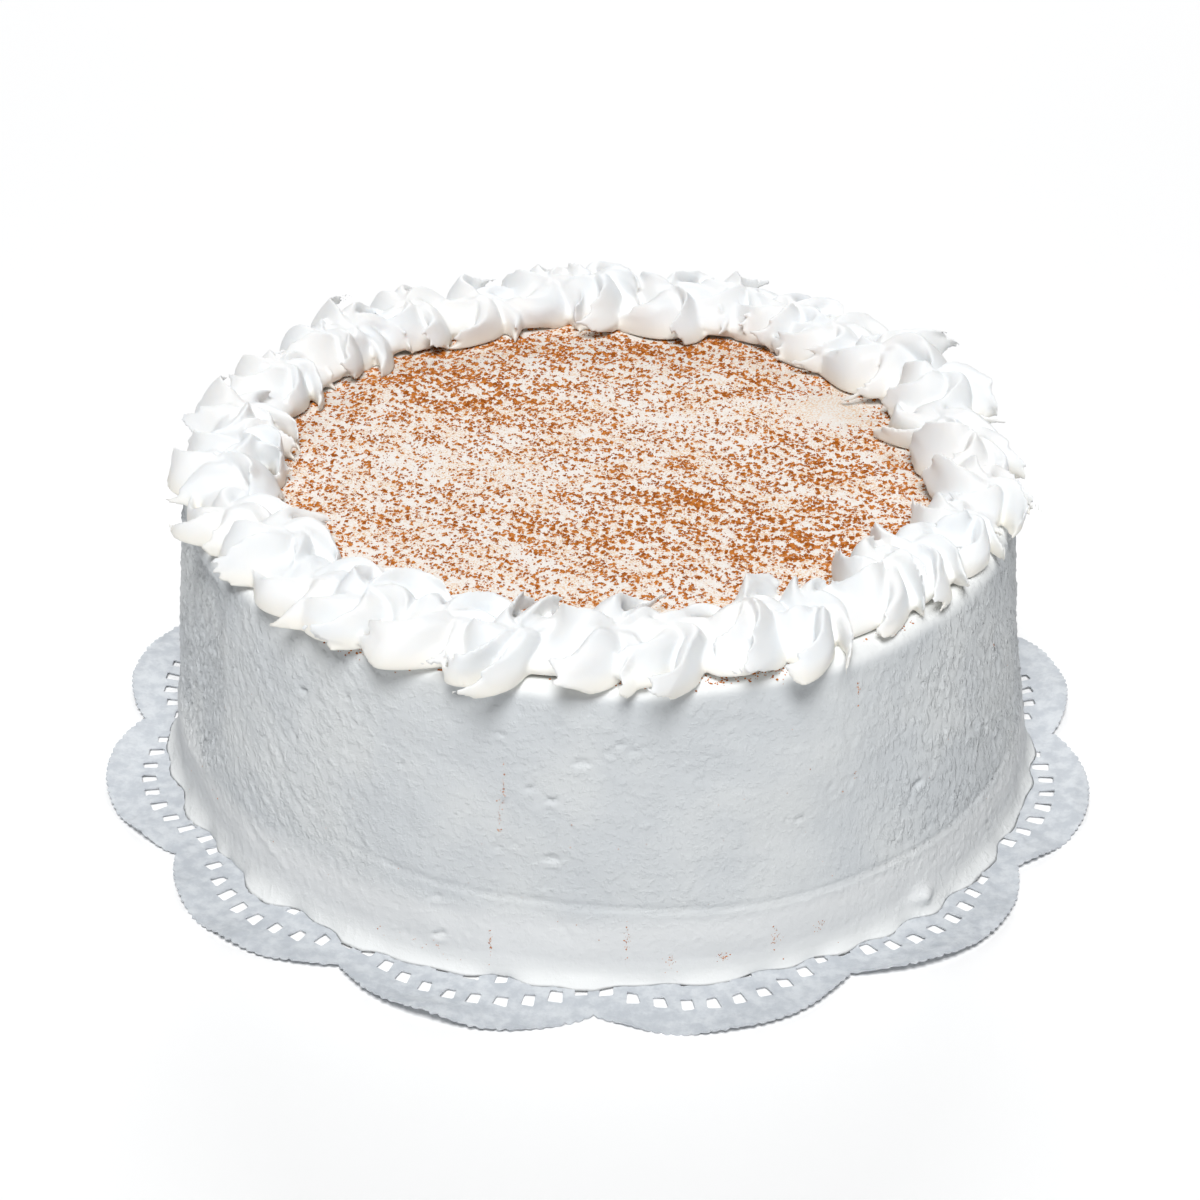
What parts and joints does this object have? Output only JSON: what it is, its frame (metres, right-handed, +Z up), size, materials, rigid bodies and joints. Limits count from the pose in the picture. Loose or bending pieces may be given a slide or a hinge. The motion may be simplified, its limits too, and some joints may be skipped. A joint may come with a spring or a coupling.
{
  "type": "tres leches cake",
  "caption": "Round iced tres leches cake with a piped cream border and cinnamon on top, on a scalloped paper lace doily.",
  "frame": {"origin": "middle of the doily's underside", "axes": "+Z up through the cake, -Y towards the cake's front"},
  "size_m": [0.2482, 0.2482, 0.092],
  "materials": {
    "side_icing": "smoothed whipped icing",
    "piped_cream": "soft piped cream",
    "doily_paper": "thin embossed paper",
    "cinnamon": "ground cinnamon"
  },
  "bodies": {
    "root": {"iced_cake": "side_icing", "piped_border": "piped_cream", "lace_doily": "doily_paper"}
  },
  "joints": []
}
